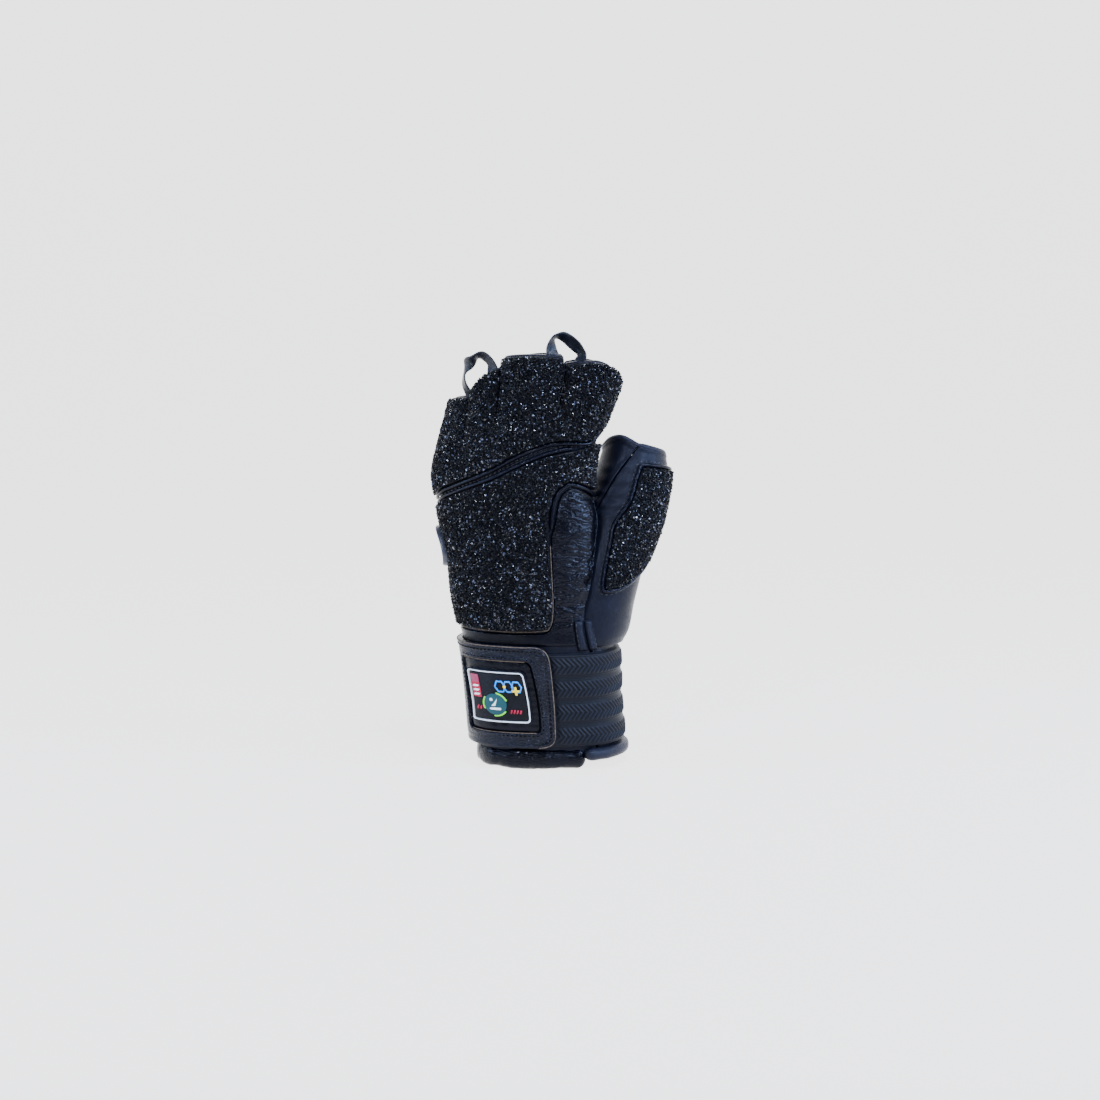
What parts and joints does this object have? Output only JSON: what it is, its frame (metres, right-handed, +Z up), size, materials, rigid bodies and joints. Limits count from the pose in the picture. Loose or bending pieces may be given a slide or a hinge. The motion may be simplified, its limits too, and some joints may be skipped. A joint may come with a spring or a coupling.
{
  "type": "shooting glove",
  "caption": "Left-hand open-finger leather shooting glove with crumb-rubber grip pads on the back, an elastic wrist strap with flap and badge, and ribbon pull loops.",
  "frame": {"origin": "middle of the wrist opening, on the plane of the cuff's lower rim", "axes": "+Z up through the fingers, -Y out of the back of the hand, +X towards the thumb"},
  "size_m": [0.1354, 0.0684, 0.2383],
  "materials": {
    "matte_leather": "fine-grained matte leather, nearly black",
    "shiny_leather": "glossy grained leather, black",
    "rubber_crumb": "coarse black rubber crumb with pale specks",
    "elastic_webbing": "black herringbone elastic",
    "pebbled_leather": "pebbled black leather with a raw tan edge",
    "ribbon": "woven navy ribbon",
    "patch_rubber": "moulded dark rubber",
    "border_rubber": "moulded pale rubber",
    "emblem_rubber": "moulded grey rubber"
  },
  "bodies": {
    "root": {"back_panel": "matte_leather", "palm_panel": "matte_leather", "fourchette_index_middle": "matte_leather", "fourchette_middle_ring": "matte_leather", "fourchette_ring_little": "matte_leather", "thumb_outer_panel": "matte_leather", "thumb_inner_panel": "matte_leather", "grip_pad_fingers": "rubber_crumb", "grip_pad_hand": "rubber_crumb", "grip_pad_thumb": "rubber_crumb", "slit_piping_upper": "shiny_leather", "slit_piping_lower": "shiny_leather", "web_panel": "shiny_leather", "web_piping": "shiny_leather", "thumb_piping": "shiny_leather", "slit_facing_hand": "matte_leather", "slit_facing_thumb": "matte_leather", "elastic_strap": "elastic_webbing", "strap_flap": "pebbled_leather", "badge_window": "shiny_leather", "badge": "patch_rubber", "badge_border": "border_rubber", "side_emblem": "emblem_rubber", "side_emblem_rim": "patch_rubber", "pull_loop_middle": "ribbon", "pull_loop_little": "ribbon", "cuff_roll_back": "shiny_leather", "cuff_roll_palm": "matte_leather"}
  },
  "joints": []
}
